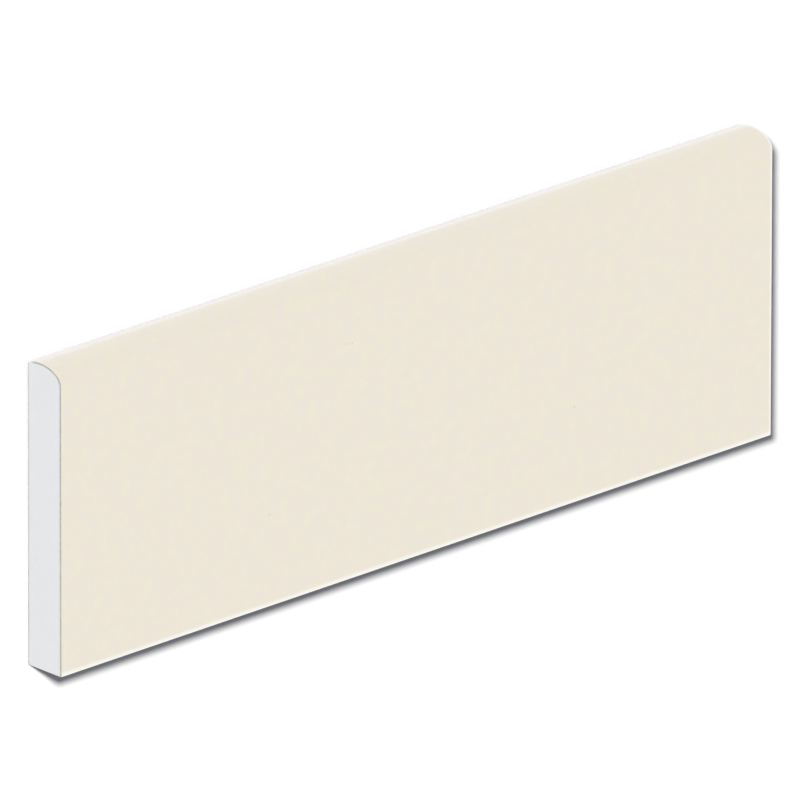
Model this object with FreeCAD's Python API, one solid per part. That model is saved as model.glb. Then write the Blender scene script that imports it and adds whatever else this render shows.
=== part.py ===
"""A bullnose wall tile: one pressed and fired ceramic slab with one long edge rounded over.

The tile lies on its back. X runs along its length, +Y points to the rounded edge and +Z
points out of the glazed face. The origin is the centre of its footprint. Millimetres.
"""

import FreeCAD
import Part

import math
import os

from FreeCAD import Vector

# Overall sizes
LENGTH = 152.4
WIDTH = 50.8
THICKNESS = 7.6

# The nose is measured from its crest, the highest line of the rounded edge
NOSE_DEPTH = 4.7
NOSE_DROP = 2.7
NOSE_BACK_FALL = 0.55

# Every outer edge is softened by the press and the glaze
ARRIS_RADIUS = 0.2

# Key grooves that the press leaves in the back, so that the mortar grips
GROOVE_COUNT = 6
GROOVE_PITCH = 7.2
GROOVE_WIDTH = 3.2
GROOVE_DEPTH = 0.7
GROOVE_FLANK_DEGREES = 35.0
GROOVE_END_MARGIN = 6.0

# Places that follow from those sizes
END_X = LENGTH / 2
SQUARE_EDGE_Y = -WIDTH / 2
CREST_Y = WIDTH / 2
CREST_Z = THICKNESS - NOSE_DEPTH
NOSE_BACK_Y = CREST_Y - NOSE_BACK_FALL
FACE_END_Y = CREST_Y - NOSE_DROP

SAME_PLACE = 1e-4


def at(y, z):
    """A point of the section, on the tile's -X end."""
    return Vector(-END_X, y, z)


def nose_front():
    """The quarter ellipse from the flat face up to the crest."""
    centre = at(FACE_END_Y, CREST_Z)
    ends = [at(FACE_END_Y, THICKNESS), at(CREST_Y, CREST_Z)]
    ends.sort(key=centre.distanceToPoint, reverse=True)
    ellipse = Part.Ellipse(ends[0], ends[1], centre)
    return Part.ArcOfEllipse(ellipse, 0, math.pi / 2).toShape()


def nose_back():
    """The circular arc that leaves the crest level and falls to the back edge."""
    radius = (CREST_Z**2 + NOSE_BACK_FALL**2) / (2 * NOSE_BACK_FALL)
    half_turn = math.asin(CREST_Z / radius) / 2
    middle = at(
        CREST_Y - radius * (1 - math.cos(half_turn)),
        CREST_Z - radius * math.sin(half_turn),
    )
    return Part.Arc(at(CREST_Y, CREST_Z), middle, at(NOSE_BACK_Y, 0)).toShape()


def section():
    """The tile's closed section: face, nose, back and square edge."""
    face = Part.makeLine(at(SQUARE_EDGE_Y, THICKNESS), at(FACE_END_Y, THICKNESS))
    back = Part.makeLine(at(NOSE_BACK_Y, 0), at(SQUARE_EDGE_Y, 0))
    square_edge = Part.makeLine(at(SQUARE_EDGE_Y, 0), at(SQUARE_EDGE_Y, THICKNESS))
    edges = Part.sortEdges([face, nose_front(), nose_back(), back, square_edge])[0]
    return Part.Face(Part.Wire(edges))


def runs_smooth(edge):
    """Whether an edge is one of the two seams of the nose, where the surface has no corner."""
    seams = [(FACE_END_Y, THICKNESS), (CREST_Y, CREST_Z)]
    middle = edge.CenterOfMass
    return any(math.hypot(middle.y - y, middle.z - z) < SAME_PLACE for y, z in seams)


def slab():
    """The section run along the length, with its arrises rounded."""
    blank = section().extrude(Vector(LENGTH, 0, 0))
    corners = [edge for edge in blank.Edges if not runs_smooth(edge)]
    return blank.makeFillet(ARRIS_RADIUS, corners)


def key_groove(y):
    """One groove's tool: a flared slot with round ends, which reaches below the back."""
    flare = GROOVE_DEPTH * math.tan(math.radians(GROOVE_FLANK_DEGREES))
    floor_radius = GROOVE_WIDTH / 2 - flare
    mouth_radius = GROOVE_WIDTH / 2 + flare
    height = 2 * GROOVE_DEPTH
    end_x = END_X - GROOVE_END_MARGIN - GROOVE_WIDTH / 2
    corners = [
        Vector(-end_x, y - mouth_radius, -GROOVE_DEPTH),
        Vector(-end_x, y + mouth_radius, -GROOVE_DEPTH),
        Vector(-end_x, y + floor_radius, GROOVE_DEPTH),
        Vector(-end_x, y - floor_radius, GROOVE_DEPTH),
    ]
    flared = Part.Face(Part.makePolygon([*corners, corners[0]]))
    run = flared.extrude(Vector(2 * end_x, 0, 0))
    left_end = Part.makeCone(mouth_radius, floor_radius, height, Vector(-end_x, y, -GROOVE_DEPTH))
    right_end = left_end.mirror(Vector(0, 0, 0), Vector(1, 0, 0))
    return run.fuse([left_end, right_end]).removeSplitter()


def bullnose_tile():
    """The whole tile, with its key grooves centred on the back."""
    back_middle = (SQUARE_EDGE_Y + NOSE_BACK_Y) / 2
    first = back_middle - GROOVE_PITCH * (GROOVE_COUNT - 1) / 2
    grooves = [key_groove(first + GROOVE_PITCH * k) for k in range(GROOVE_COUNT)]
    return slab().cut(grooves)


def main():
    os.makedirs("parts", exist_ok=True)
    tile = bullnose_tile()
    solid = tile.Solids[0]
    box = solid.BoundBox
    print("solids", len(tile.Solids), "valid", solid.isValid(), "faces", len(solid.Faces))
    print("volume cm3", round(solid.Volume / 1000, 3))
    print("box", [round(v, 3) for v in (box.XMin, box.XMax, box.YMin, box.YMax, box.ZMin, box.ZMax)])
    solid.exportStep("parts/bullnose_tile.step")


main()
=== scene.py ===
"""The looks of a glazed bullnose wall tile that lies on its back, with the glazed face up.

Metres, in the part's own frame: X along the length, +Y towards the rounded edge, +Z out of the face.
"""

import math
from collections import namedtuple

import bmesh
import bpy
from mathutils import Matrix, Vector, noise


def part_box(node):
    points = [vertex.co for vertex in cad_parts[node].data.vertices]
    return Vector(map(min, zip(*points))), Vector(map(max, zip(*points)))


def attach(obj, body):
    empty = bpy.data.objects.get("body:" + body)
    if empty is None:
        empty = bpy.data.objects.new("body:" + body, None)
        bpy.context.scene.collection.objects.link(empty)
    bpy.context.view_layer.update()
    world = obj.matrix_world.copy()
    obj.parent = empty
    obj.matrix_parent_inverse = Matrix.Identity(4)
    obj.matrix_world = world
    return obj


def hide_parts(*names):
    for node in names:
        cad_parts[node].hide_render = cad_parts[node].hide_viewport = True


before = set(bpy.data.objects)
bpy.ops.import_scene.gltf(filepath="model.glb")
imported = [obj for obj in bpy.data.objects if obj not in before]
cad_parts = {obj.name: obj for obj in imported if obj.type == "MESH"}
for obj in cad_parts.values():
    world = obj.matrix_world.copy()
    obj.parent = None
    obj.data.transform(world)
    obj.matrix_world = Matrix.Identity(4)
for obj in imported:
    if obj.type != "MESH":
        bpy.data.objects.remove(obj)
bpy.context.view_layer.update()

MM = 0.001
NODE = "bullnose_tile"

# The tile's box, from the frame
tile_low, tile_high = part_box(NODE)
END_X = tile_high.x
SQUARE_Y = tile_low.y
CREST_Y = tile_high.y
FACE_Z = tile_high.z

# The section. The nose is measured from its crest, the outermost line of the rounded edge
NOSE_DEPTH = 4.7 * MM
NOSE_DROP = 2.7 * MM
NOSE_BACK_FALL = 0.55 * MM
ARRIS = 0.2 * MM
CREST_Z = FACE_Z - NOSE_DEPTH
FACE_END_Y = CREST_Y - NOSE_DROP
INNER_Y = SQUARE_Y + ARRIS
BACK_MIDDLE_Y = (SQUARE_Y + CREST_Y - NOSE_BACK_FALL) / 2
NOSE_BACK_RADIUS = (CREST_Z**2 + NOSE_BACK_FALL**2) / (2 * NOSE_BACK_FALL)
NOSE_BACK_CENTRE = Vector((CREST_Y - NOSE_BACK_RADIUS, CREST_Z))
NOSE_BACK_TURN = math.asin((CREST_Z - ARRIS) / (NOSE_BACK_RADIUS - ARRIS))

# The key grooves in the back. Their flanks run out in a small round at the mouth and at the floor,
# and GROOVE_MOUTH and GROOVE_FLOOR are the half widths where those rounds end
GROOVE_COUNT = 6
GROOVE_PITCH = 7.2 * MM
GROOVE_WIDTH = 3.2 * MM
GROOVE_DEPTH = 0.7 * MM
GROOVE_FLANK_DEGREES = 35
GROOVE_END_MARGIN = 6.0 * MM
GROOVE_ROUND = 0.12 * MM
GROOVE_FLANK = GROOVE_DEPTH * math.tan(math.radians(GROOVE_FLANK_DEGREES))
GROOVE_MOUTH = GROOVE_WIDTH / 2 + GROOVE_ROUND
GROOVE_FLOOR = GROOVE_WIDTH / 2 - GROOVE_FLANK - GROOVE_ROUND
GROOVE_END_X = END_X - GROOVE_END_MARGIN - GROOVE_WIDTH / 2

# Where the glaze ends in a thin line: how far round each arris of the face it turns, how much of the
# nose's back arris it covers, and how far the line reaches past an arris onto the flat surface
GLAZE_TURN_LEFT = math.radians(23)
GLAZE_TURN_RIGHT = math.radians(58)
GLAZE_TURN_SQUARE = math.radians(58)
GLAZE_BACK_SHARE = 0.5
EDGE_LINE = 0.07 * MM

# The slow waves in the glaze, which die out over the last WAVE_FADE before its edges
WAVE_HEIGHT = 0.012 * MM
WAVE_LENGTH = 7.0 * MM
WAVE_FADE = 2.0 * MM

# How finely the mesh is cut. A cut SUPPORT away from a bend keeps the surface beside it flat
CORNER_STEPS = 8
NOSE_FRONT_STEPS = 28
NOSE_BACK_STEPS = 14
FACE_STEP = 0.8 * MM
SIDE_STEP = 1.0 * MM
LENGTH_STEP = 1.1 * MM
GROOVE_STEP = 0.12 * MM
SUPPORT = 0.25 * MM
SAME_PLACE = ARRIS / 1000

# The ways that the section's flat surfaces face, as angles from +Y towards +Z
UP = math.pi / 2
SIDEWAYS = math.pi
DOWN = -math.pi / 2

# The finishes, in the order of the tile's materials
GLAZE, EDGE, BODY = range(3)

# A point of the section, the way its surface faces, how a cut inside the arris shrinks, and the
# finish of the surface between it and the next point
Point = namedtuple("Point", "place normal mitre finish")


def unit(angle):
    """The way that an angle points, in the section's plane."""
    return Vector((math.cos(angle), math.sin(angle)))


def smooth(low, high, value):
    """0 up to low and 1 from high on, with a soft step between them."""
    t = min(max((value - low) / (high - low), 0), 1)
    return t * t * (3 - 2 * t)


def spread(start, stop, step):
    """Even places from start up to, but without, stop."""
    count = max(1, round(abs(stop - start) / step))
    return [start + (stop - start) * k / count for k in range(count)]


def corner(centre, first, last, finishes):
    """A rounded corner from one surface to the next, given the angles that they face and the finishes,
    each with the share of the corner from which on it holds."""
    before, after = unit(first), unit(last)
    mitre = (before + after) / (1 + before.dot(after))
    made = []
    for k in range(CORNER_STEPS + 1):
        share = k / CORNER_STEPS
        normal = unit(first + (last - first) * share)
        begun = [finish for start, finish in finishes if start <= share]
        made.append(Point(centre + ARRIS * normal, normal, mitre, begun[-1]))
    return made


def flat(places, facing, finish):
    """Points of a flat stretch of the section."""
    normal = unit(facing)
    return [Point(Vector(place), normal, normal, finish) for place in places]


def nose_front():
    """The quarter ellipse from the end of the flat face to the crest."""
    made = []
    for k in range(NOSE_FRONT_STEPS):
        turn = UP * (1 - k / NOSE_FRONT_STEPS)
        along, out = math.cos(turn), math.sin(turn)
        place = Vector((FACE_END_Y + NOSE_DROP * along, CREST_Z + NOSE_DEPTH * out))
        normal = Vector((along / NOSE_DROP, out / NOSE_DEPTH)).normalized()
        made.append(Point(place, normal, normal, GLAZE))
    return made


def nose_back():
    """The circular arc from the crest to the back arris."""
    made = []
    for k in range(NOSE_BACK_STEPS):
        normal = unit(-NOSE_BACK_TURN * k / NOSE_BACK_STEPS)
        made.append(Point(NOSE_BACK_CENTRE + NOSE_BACK_RADIUS * normal, normal, normal, GLAZE))
    return made


def groove_y(k):
    """The middle of a key groove, counted from the nose."""
    return BACK_MIDDLE_Y + GROOVE_PITCH * ((GROOVE_COUNT - 1) / 2 - k)


def back_places():
    """Where the back is cut across, from the nose to the square edge: fine over the grooves' flanks and
    floors, and once more beside each groove, so that the back stays flat between them."""
    half = [GROOVE_MOUTH + SUPPORT, *spread(GROOVE_MOUTH, GROOVE_FLOOR, GROOVE_STEP)]
    half += [GROOVE_FLOOR, *spread(GROOVE_FLOOR - SUPPORT, 0, SUPPORT)]
    across = half + [0] + [-y for y in reversed(half)]
    return [groove_y(k) + y for k in range(GROOVE_COUNT) for y in across]


def section():
    """The tile's closed section as points (y, z), from the square edge over the face and the nose."""
    glaze_share = 1 - GLAZE_TURN_SQUARE / UP
    back_corner = NOSE_BACK_CENTRE + (NOSE_BACK_RADIUS - ARRIS) * unit(-NOSE_BACK_TURN)
    back_finishes = [(0, GLAZE), (GLAZE_BACK_SHARE, EDGE), (1, BODY)]
    line_z = FACE_Z - ARRIS - EDGE_LINE
    face = [INNER_Y + SUPPORT, *spread(INNER_Y + 2 * SUPPORT, FACE_END_Y, FACE_STEP)]
    back = [back_corner.x - SUPPORT, *back_places(), INNER_Y + SUPPORT]
    side = spread(ARRIS + SUPPORT, line_z, SIDE_STEP)

    points = corner(Vector((INNER_Y, FACE_Z - ARRIS)), SIDEWAYS, UP, [(0, EDGE), (glaze_share, GLAZE)])
    points += flat([(y, FACE_Z) for y in face], UP, GLAZE)
    points += nose_front() + nose_back()
    points += corner(back_corner, -NOSE_BACK_TURN, DOWN, back_finishes)
    points += flat([(y, 0) for y in back], DOWN, BODY)
    points += corner(Vector((INNER_Y, ARRIS)), DOWN, -SIDEWAYS, [(0, BODY)])
    points += flat([(SQUARE_Y, z) for z in side], SIDEWAYS, BODY)
    points += flat([(SQUARE_Y, line_z)], SIDEWAYS, EDGE)
    return points


def inset(point, depth):
    """The place of a section point on a cut that lies that far inside the section."""
    return point.place - point.normal * min(depth, ARRIS) - point.mitre * max(depth - ARRIS, 0)


def groove_depth(x, y):
    """How deep the key grooves are pressed in at a place of the back."""
    off_middle = min(abs(y - groove_y(k)) for k in range(GROOVE_COUNT))
    gap = math.hypot(max(abs(x) - GROOVE_END_X, 0), off_middle)
    return GROOVE_DEPTH * smooth(-GROOVE_MOUTH, -GROOVE_FLOOR, -gap)


def glaze_wave(x, point):
    """How far the glaze dips below the section: slow waves that die out towards the edges."""
    fade = smooth(0, WAVE_FADE, END_X - abs(x)) * smooth(0, WAVE_FADE, point.place.x - SQUARE_Y)
    fade *= smooth(0, WAVE_FADE, point.place.y)
    wave = noise.noise(Vector((x, point.place.x, point.place.y)) / WAVE_LENGTH)
    return WAVE_HEIGHT * fade * (0.5 + 0.5 * wave)


def ring(x, points):
    """The section at one station of the length, with the glaze's waves and the back's grooves."""
    made = []
    for point in points:
        place = point.place
        if point.finish == GLAZE:
            place = place - point.normal * glaze_wave(x, point)
        rise = groove_depth(x, place.x) if point.normal.y == -1 else 0
        made.append((x, place.x, place.y + rise))
    return made


def stations():
    """Where the length is cut across, from end to end: fine over the round ends of the grooves."""
    last = END_X - ARRIS
    reach = GROOVE_END_X + GROOVE_MOUTH
    half = [last, last - SUPPORT, *spread(last - 3 * SUPPORT, reach + SUPPORT, LENGTH_STEP)]
    half += [reach + SUPPORT, *spread(reach, GROOVE_END_X, GROOVE_STEP)]
    half += spread(GROOVE_END_X, 0, LENGTH_STEP)
    return [-x for x in half] + [0] + half[::-1]


def arris_cuts(points):
    """The cuts round the arris of an end, outwards: the X of each, how far the surface has turned
    there, and its places. The last lies on the flat end, where the glaze's line stops."""
    cuts = []
    for k in range(1, CORNER_STEPS + 1):
        turn = math.pi / 2 * k / CORNER_STEPS
        places = [inset(point, ARRIS * (1 - math.cos(turn))) for point in points]
        cuts.append((END_X - ARRIS + ARRIS * math.sin(turn), turn, places))
    cuts.append((END_X, math.pi / 2, [inset(point, ARRIS + EDGE_LINE) for point in points]))
    return cuts


def strips(points, past_glaze):
    """The faces between each ring and the next, and their finishes. Past the glaze comes its line."""
    count = len(points)
    faces = []
    finishes = []
    for i, past in enumerate(past_glaze):
        near, far = i * count, (i + 1) * count
        for j, point in enumerate(points):
            after = (j + 1) % count
            faces.append((near + j, far + j, far + after, near + after))
            finishes.append(EDGE if past and point.finish == GLAZE else point.finish)
    return faces, finishes


def caps(count, last):
    """The faces of both flat ends, given how many points a ring has and where the last ring starts.
    They are fans about the two points that come after that ring."""
    left_middle = last + count
    right_middle = left_middle + 1
    faces = []
    for j in range(count):
        after = (j + 1) % count
        faces += [(left_middle, j, after), (right_middle, last + after, last + j)]
    return faces


def join_corners(mesh):
    """Joins the points that fall together where two rounded arrises meet."""
    work = bmesh.new()
    work.from_mesh(mesh)
    bmesh.ops.remove_doubles(work, verts=work.verts, dist=SAME_PLACE)
    work.to_mesh(mesh)
    work.free()


def tile_mesh():
    """The whole tile: the section along its length, and round arrises down to a flat cap at each end."""
    points = section()
    cuts = arris_cuts(points)
    along = stations()
    rings = [[(-x, *place) for place in places] for x, turn, places in reversed(cuts)]
    rings += [ring(x, points) for x in along]
    rings += [[(x, *place) for place in places] for x, turn, places in cuts]
    past_glaze = [turn > GLAZE_TURN_LEFT for x, turn, places in reversed(cuts)]
    past_glaze += [False] * (len(along) - 1)
    past_glaze += [turn > GLAZE_TURN_RIGHT for x, turn, places in cuts]

    vertices = [place for loop in rings for place in loop]
    faces, finishes = strips(points, past_glaze)
    ends = caps(len(points), len(vertices) - len(points))
    vertices += [(-END_X, 0, FACE_Z / 2), (END_X, 0, FACE_Z / 2)]

    mesh = bpy.data.meshes.new(NODE)
    mesh.from_pydata(vertices, [], faces + ends)
    mesh.polygons.foreach_set("material_index", finishes + [BODY] * len(ends))
    mesh.polygons.foreach_set("use_smooth", [True] * len(mesh.polygons))
    join_corners(mesh)
    return mesh


# The colour sockets of a Mix node, which share their names with its other sockets
MIX_FIRST = 6
MIX_SECOND = 7
MIX_RESULT = 2

# Noise: how many finer layers it has, how strong each is as a share of the one before, and between
# which values most of it lies
PLAIN_NOISE = 1.0
SOFT_NOISE = 2.0
FINE_NOISE = 4.0
LAYER_SHARE = 0.55
NOISE_LOW = 0.3
NOISE_HIGH = 0.7


def srgb(red, green, blue):
    """A colour given as it looks on screen, 0 to 255, as a shader takes it."""
    parts = [part / 255 for part in (red, green, blue)]
    return (*[p / 12.92 if p <= 0.04045 else ((p + 0.055) / 1.055) ** 2.4 for p in parts], 1)


def node(tree, kind, inputs=None, **settings):
    """A new shader node, with its settings, and its inputs as values or as sockets to link."""
    made = tree.nodes.new("ShaderNode" + kind)
    for name, value in settings.items():
        setattr(made, name, value)
    for key, value in (inputs or {}).items():
        if isinstance(value, bpy.types.NodeSocket):
            tree.links.new(value, made.inputs[key])
        else:
            made.inputs[key].default_value = value
    return made


def mixed(tree, share, first, second):
    """One colour fading into another."""
    inputs = {"Factor": share, MIX_FIRST: first, MIX_SECOND: second}
    return node(tree, "Mix", inputs, data_type="RGBA").outputs[MIX_RESULT]


def ranged(tree, value, low, high, to_low=0.0, to_high=1.0, soft=True):
    """A value spread from one range to another, with a soft or a straight step."""
    inputs = {"Value": value, "From Min": low, "From Max": high, "To Min": to_low, "To Max": to_high}
    kind = "SMOOTHSTEP" if soft else "LINEAR"
    return node(tree, "MapRange", inputs, interpolation_type=kind).outputs[0]


def computed(tree, operation, first, second):
    """The result of an operation on two values."""
    return node(tree, "Math", {0: first, 1: second}, operation=operation).outputs[0]


def coordinate(tree, vector, axis):
    """One coordinate of a vector."""
    return node(tree, "SeparateXYZ", {0: vector}).outputs[axis]


def grain(tree, place, size, layers=SOFT_NOISE):
    """Noise with patches of about that size."""
    inputs = {"Vector": place, "Scale": 1 / size, "Detail": layers, "Roughness": LAYER_SHARE}
    return node(tree, "TexNoise", inputs).outputs[0]


def add_bump(tree, shader, height, depth):
    """Lets the surface look uneven by that depth, where the height is a value from 0 to 1."""
    bump = node(tree, "Bump", {"Height": height, "Distance": depth, "Strength": 1.0})
    tree.links.new(bump.outputs[0], shader.inputs["Normal"])


def new_material(name, roughness):
    """A material, its tree, its main shader and the place on the tile as a socket."""
    material = bpy.data.materials.new(name)
    material.use_nodes = True
    tree = material.node_tree
    shader = tree.nodes["Principled BSDF"]
    shader.inputs["Roughness"].default_value = roughness
    place = node(tree, "TexCoord").outputs["Object"]
    return material, tree, shader, place


# The glaze's colours: two that are mottled together, the pale one along the face's edges, from thinner
# glaze and a painted highlight, and two down the back of the nose, a pale painted highlight over thinner
# glaze and a grey painted shade at its foot, each with the heights between which it fades in
CREAM = srgb(235, 228, 210)
CREAM_COOL = srgb(233, 225, 213)
CREAM_PALE = srgb(251, 251, 247)
CREAM_NOSE_HIGHLIGHT = srgb(241, 237, 231)
FOOT_LOW = 1.8 * MM
FOOT_HIGH = 3.2 * MM
FOOT_SHADE_LINE = srgb(226, 223, 217)
FOOT_SHADE_LOW = 0.7 * MM
FOOT_SHADE_HIGH = 1.3 * MM
MOTTLE_SIZE = 2.0 * MM

# Where the face turns pale along its edges, from thinner glaze and a painted highlight that is strongest
# along the lower and right edges: how far in from each edge that starts, how far in it is complete, and
# how ragged it is
PALE_LOWER = 0.9 * MM
PALE_RIGHT = 0.6 * MM
PALE_LEFT = 0.25 * MM
PALE_EDGE = 0.08 * MM
RAGGED = 0.1 * MM
RAGGED_SIZE = 1.5 * MM

# The glaze's surface: its roughness, which drifts in wide patches, and its fine unevenness
SATIN_SIZE = 5.0 * MM
SATIN_LOW = 0.30
SATIN_HIGH = 0.37
PEEL_SIZE = 1.4 * MM
PEEL_HEIGHT = 0.003 * MM

# Faint specks in the face: x, y and radius in millimetres, strength and colour
SPECK_DARK = srgb(205, 196, 178)
SPECK_PALE = srgb(246, 241, 230)
SPECKS = [
    (-15.9, 14.2, 0.32, 0.42, SPECK_DARK),
    (-15.3, 13.9, 0.32, 0.42, SPECK_DARK),
    (-14.4, 13.8, 0.32, 0.58, SPECK_DARK),
    (33.35, -9.3, 0.36, 0.58, SPECK_DARK),
    (-31.9, -10.05, 0.36, 0.54, SPECK_DARK),
    (-11.3, 6.35, 0.40, 0.60, SPECK_PALE),
]


def with_specks(tree, place, colour):
    """A colour with the face's specks in it."""
    for x, y, radius, strength, speck in SPECKS:
        centre = (x * MM, y * MM, FACE_Z)
        gap = node(tree, "VectorMath", {0: place, 1: centre}, operation="DISTANCE").outputs["Value"]
        colour = mixed(tree, ranged(tree, gap, radius * MM, 0.0, 0.0, strength), colour, speck)
    return colour


def thin_glaze_and_highlight(tree, place):
    """How pale the face turns along its edges, 0 to 1: partly glaze that draws back from them, partly a
    painted highlight.
    """
    ragged = ranged(tree, grain(tree, place, RAGGED_SIZE), 0.0, 1.0, -RAGGED, RAGGED, soft=False)
    x = computed(tree, "ADD", coordinate(tree, place, "X"), ragged)
    y = computed(tree, "ADD", coordinate(tree, place, "Y"), ragged)
    paleness = 0.0
    for value, start, stop in (
        (y, SQUARE_Y + PALE_LOWER, SQUARE_Y + PALE_EDGE),
        (x, END_X - PALE_RIGHT, END_X - PALE_EDGE),
        (x, PALE_LEFT - END_X, PALE_EDGE - END_X),
    ):
        paleness = computed(tree, "MAXIMUM", paleness, ranged(tree, value, start, stop, soft=False))
    return paleness


def glaze_material():
    """Cream satin glaze: faintly mottled, paler along the edges from thinner glaze and a painted
    highlight, with a painted highlight over thinner glaze down the back of the nose, and a painted shade
    at the nose's foot."""
    material, tree, shader, place = new_material("glaze", SATIN_LOW)
    mottle = ranged(tree, grain(tree, place, MOTTLE_SIZE, FINE_NOISE), NOISE_LOW, NOISE_HIGH)
    colour = with_specks(tree, place, mixed(tree, mottle, CREAM, CREAM_COOL))
    height = coordinate(tree, place, "Z")
    # Painted highlight, with thinner glaze: paler down the back of the nose
    colour = mixed(tree, ranged(tree, height, FOOT_HIGH, FOOT_LOW), colour, CREAM_NOSE_HIGHLIGHT)
    # Painted shade: greyer at the nose's foot, next to the floor
    colour = mixed(tree, ranged(tree, height, FOOT_SHADE_HIGH, FOOT_SHADE_LOW), colour, FOOT_SHADE_LINE)
    # The pale edges: thinner glaze, and a painted highlight that is strongest along the lower and right
    # edges
    colour = mixed(tree, thin_glaze_and_highlight(tree, place), colour, CREAM_PALE)
    tree.links.new(colour, shader.inputs["Base Color"])

    patches = grain(tree, place, SATIN_SIZE)
    satin = ranged(tree, patches, NOISE_LOW, NOISE_HIGH, SATIN_LOW, SATIN_HIGH)
    tree.links.new(satin, shader.inputs["Roughness"])
    add_bump(tree, shader, grain(tree, place, PEEL_SIZE, PLAIN_NOISE), PEEL_HEIGHT)
    return material


# The fired body: its grain, its pores, whose radius is a share of their spacing, and how high up the
# sides a painted shade darkens it along the foot, where it meets the floor. A side is what faces down by
# less than SIDE_TILT
BODY_DARK = srgb(226, 227, 229)
BODY_PALE = srgb(228, 229, 231)
BODY_FOOT_SHADE = srgb(196, 199, 195)
BODY_PORE = srgb(219, 219, 220)
BODY_ROUGHNESS = 0.85
BODY_SPECULAR = 0.3
BODY_GRAIN = 0.45 * MM
BODY_GRAIN_HEIGHT = 0.0025 * MM
PORE_SPACING = 1.1 * MM
PORE_RADIUS = 0.12
BODY_SHADE_HEIGHT = 0.45 * MM
SIDE_TILT = 0.5


def body_material():
    """The bare fired body: pale cool grey, matt, fine-grained and porous, and greyer along the foot, a
    painted shade.
    """
    material, tree, shader, place = new_material("fired_body", BODY_ROUGHNESS)
    shader.inputs["Specular IOR Level"].default_value = BODY_SPECULAR
    fine = grain(tree, place, BODY_GRAIN, FINE_NOISE)
    colour = mixed(tree, ranged(tree, fine, NOISE_LOW, NOISE_HIGH), BODY_DARK, BODY_PALE)
    spots = node(tree, "TexVoronoi", {"Vector": place, "Scale": 1 / PORE_SPACING}).outputs["Distance"]
    colour = mixed(tree, ranged(tree, spots, PORE_RADIUS, 0.0), colour, BODY_PORE)
    # Painted shade: the sides turn greyer towards the foot, where they meet the floor
    facing = coordinate(tree, node(tree, "NewGeometry").outputs["Normal"], "Z")
    side = ranged(tree, facing, -1.0, -SIDE_TILT)
    low = ranged(tree, coordinate(tree, place, "Z"), BODY_SHADE_HEIGHT, ARRIS)
    colour = mixed(tree, computed(tree, "MULTIPLY", side, low), colour, BODY_FOOT_SHADE)
    tree.links.new(colour, shader.inputs["Base Color"])
    add_bump(tree, shader, fine, BODY_GRAIN_HEIGHT)
    return material


# The line at the glaze's edge, which fades into the body low on the nose
LINE_DARK = srgb(172, 171, 158)
LINE_PALE = srgb(186, 184, 171)
LINE_ROUGHNESS = 0.45
LINE_DRIFT_SIZE = 0.8 * MM
LINE_FADE_LOW = 0.7 * MM
LINE_FADE_HIGH = 1.7 * MM


def glaze_edge_material():
    """The thin grey-green line where the glaze runs out over the body."""
    material, tree, shader, place = new_material("glaze_edge", LINE_ROUGHNESS)
    drift = ranged(tree, grain(tree, place, LINE_DRIFT_SIZE), NOISE_LOW, NOISE_HIGH)
    line = mixed(tree, drift, LINE_DARK, LINE_PALE)
    shown = ranged(tree, coordinate(tree, place, "Z"), LINE_FADE_LOW, LINE_FADE_HIGH)
    tree.links.new(mixed(tree, shown, BODY_PALE, line), shader.inputs["Base Color"])
    return material


def added(name, data):
    """A new object in the scene."""
    made = bpy.data.objects.new(name, data)
    bpy.context.scene.collection.objects.link(made)
    return made


def add_tile():
    """The tile, with its materials in the order of the finishes."""
    tile = added("glazed_tile", tile_mesh())
    for material in (glaze_material(), glaze_edge_material(), body_material()):
        tile.data.materials.append(material)
    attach(tile, "root")
    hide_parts(NODE)


# A far lamp: where it stands as seen from the tile, how bright it turns a white sheet that faces it,
# and how wide it looks
Lamp = namedtuple("Lamp", "towards level width")

# The light on the tile: an even white sky, which turns greyer within HORIZON below the level, a weak
# key lamp, and a lamp below that brings out the form of the back
SKY = 1.0
SKY_BELOW = 0.75
HORIZON = 0.02
KEY = Lamp(Vector((-0.42, -0.3, 0.86)).normalized(), 0.03, math.radians(25))
UNDER = Lamp(Vector((0.35, -0.85, -0.4)).normalized(), 0.55, math.radians(15))

# The floor: a slightly blue grey, in two stretches of X that a lamp each turns white, so that the
# shadow on it is deep. It lies a little below the tile's back, and is open under it
FLOOR_SHADE = (0.155, 0.159, 0.175)
FLOOR_WHITE = 1.03
FLOOR_HALF = 2.0
FLOOR_PARTING = -55 * MM
FLOOR_GAP = 0.02 * MM
OPENING_INSET = ARRIS + 0.05 * MM

# How far the shadow of a point falls in X, over the left and the right stretch, and in Y, for each
# unit of the point's height, and how much the lamp's width spreads the fall in Y
LEFT_FALL_X = 0.85
RIGHT_FALL_X = 1.09
FALL_Y = -0.696
FALL_SPREAD = 0.215


def floor_mesh(name, start, stop):
    """A stretch of the floor from one X to another, round an opening a little inside the tile's back."""
    open_x = END_X - OPENING_INSET
    open_y = BACK_MIDDLE_Y - SQUARE_Y - OPENING_INSET
    xs = [x for x in (start, -open_x, open_x, stop) if start <= x <= stop]
    ys = [-FLOOR_HALF, BACK_MIDDLE_Y - open_y, BACK_MIDDLE_Y + open_y, FLOOR_HALF]
    rows = len(ys)
    faces = []
    for i in range(len(xs) - 1):
        beside = abs(xs[i] + xs[i + 1]) / 2 > open_x
        for j in range(rows - 1):
            if beside or j != 1:
                first = i * rows + j
                faces.append((first, first + rows, first + rows + 1, first + 1))
    mesh = bpy.data.meshes.new(name)
    mesh.from_pydata([(x, y, -FLOOR_GAP) for x in xs for y in ys], [], faces)
    return mesh


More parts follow.
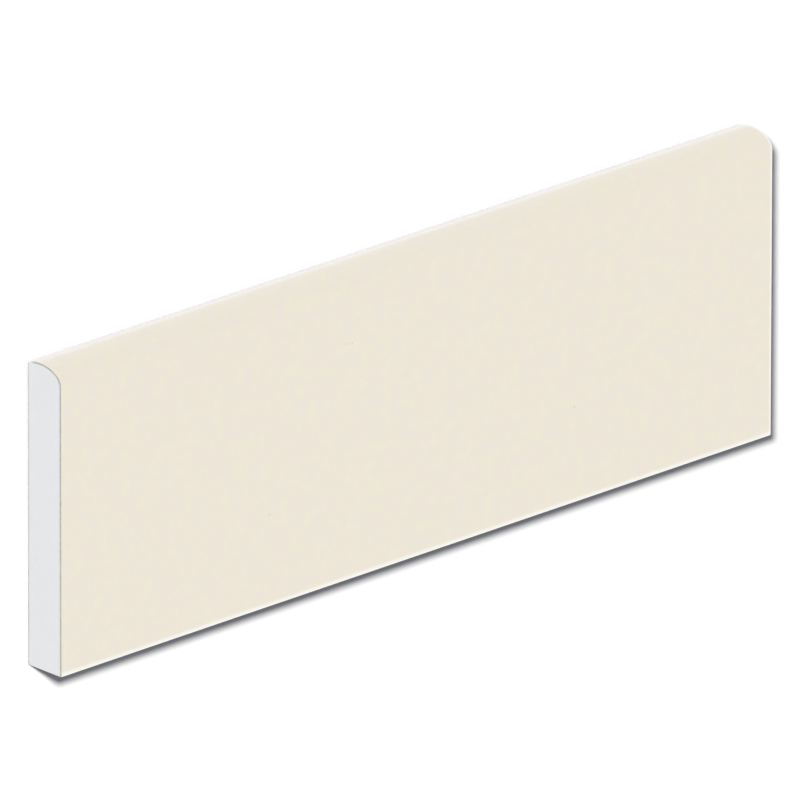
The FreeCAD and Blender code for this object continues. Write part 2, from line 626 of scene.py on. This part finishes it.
def floor_material():
    """Matt from above, and clear from below, so that the tile's back can be looked at."""
    material = bpy.data.materials.new("floor")
    material.use_nodes = True
    tree = material.node_tree
    tree.nodes.remove(tree.nodes["Principled BSDF"])
    shade = node(tree, "BsdfDiffuse", {"Color": (*FLOOR_SHADE, 1)}).outputs[0]
    clear = node(tree, "BsdfTransparent").outputs[0]
    below = node(tree, "NewGeometry").outputs["Backfacing"]
    surface = node(tree, "MixShader", {0: below, 1: shade, 2: clear}).outputs[0]
    tree.links.new(surface, tree.nodes["Material Output"].inputs["Surface"])
    return material


def add_floor():
    """Both stretches of the floor, each with its lamp."""
    material = floor_material()
    for name, start, stop, fall_x in (
        ("floor_left", -FLOOR_HALF, FLOOR_PARTING, LEFT_FALL_X),
        ("floor_right", FLOOR_PARTING, FLOOR_HALF, RIGHT_FALL_X),
    ):
        stretch = added(name, floor_mesh(name, start, stop))
        stretch.data.materials.append(material)
        add_floor_lamp(stretch, fall_x)


def add_lamp(name, lamp):
    """A far lamp that lights a white sheet facing it to its level."""
    data = bpy.data.lights.new(name, "SUN")
    data.energy = math.pi * lamp.level
    data.angle = lamp.width
    made = added(name, data)
    made.rotation_euler = lamp.towards.to_track_quat("Z", "Y").to_euler()
    return made


def add_floor_lamp(stretch, fall_x):
    """The lamp that lights one stretch of the floor alone, as strong and as tinted as turns it white."""
    towards = Vector((-fall_x, -FALL_Y, 1)).normalized()
    width = FALL_SPREAD * towards.z / math.hypot(1, FALL_Y)
    other_light = SKY + KEY.level * KEY.towards.z
    levels = [(FLOOR_WHITE / shade - other_light) / towards.z for shade in FLOOR_SHADE]
    lamp = add_lamp(stretch.name + "_lamp", Lamp(towards, max(levels), width))
    lamp.data.color = [level / max(levels) for level in levels]
    lit = bpy.data.collections.new(stretch.name + "_lit")
    lit.objects.link(stretch)
    lamp.light_linking.receiver_collection = lit


def add_sky():
    """The sky's light, which is less from below, and its look, which is white all round."""
    world = bpy.data.worlds.new("sky")
    world.use_nodes = True
    tree = world.node_tree
    rise = coordinate(tree, node(tree, "TexCoord").outputs["Generated"], "Z")
    level = ranged(tree, rise, -HORIZON, 0.0, SKY_BELOW, SKY)
    path = node(tree, "LightPath").outputs
    for ray in ("Is Camera Ray", "Is Glossy Ray", "Is Transmission Ray"):
        level = computed(tree, "MAXIMUM", level, path[ray])
    sky = tree.nodes["Background"]
    sky.inputs["Color"].default_value = (1, 1, 1, 1)
    tree.links.new(level, sky.inputs["Strength"])
    bpy.context.scene.world = world


# The camera: the photo's view of the tile, nearly without perspective. It is given by the angles that
# the tile is seen at, the picture's roll and scale, and the pixel that the tile's origin falls on
FRAME_PIXELS = 800
VIEW_TURN = math.radians(43.38)
VIEW_RISE = math.radians(21.09)
VIEW_ROLL = math.radians(0.117)
PIXELS_PER_METRE = 6.412 / MM
ORIGIN_PIXEL = (386.0, 390.8)
LENS = 1650.0
SENSOR = 36.0
CLIP_START = 0.1


def add_camera():
    """A camera that looks down on the tile, turned so that the rounded edge is at the picture's top."""
    towards = Vector((
        -math.sin(VIEW_TURN) * math.cos(VIEW_RISE),
        math.sin(VIEW_RISE),
        math.cos(VIEW_TURN) * math.cos(VIEW_RISE),
    ))
    level = Vector((0, 1, 0)).cross(towards).normalized()
    right = Matrix.Rotation(VIEW_ROLL, 3, towards) @ level
    up = towards.cross(right)
    middle = FRAME_PIXELS / 2
    aim = right * (middle - ORIGIN_PIXEL[0]) + up * (ORIGIN_PIXEL[1] - middle)
    distance = LENS / SENSOR * FRAME_PIXELS / PIXELS_PER_METRE
    place = aim / PIXELS_PER_METRE + towards * distance

    data = bpy.data.cameras.new("camera")
    data.lens = LENS
    data.sensor_width = SENSOR
    data.clip_start = CLIP_START
    data.clip_end = 2 * distance
    camera = added("camera", data)
    turned = Matrix((right, up, towards)).transposed().to_4x4()
    camera.matrix_world = Matrix.Translation(place) @ turned
    bpy.context.scene.camera = camera


add_tile()
add_lamp("key", KEY)
add_lamp("under", UNDER)
add_floor()
add_sky()
add_camera()
bpy.context.scene.view_settings.view_transform = "Standard"
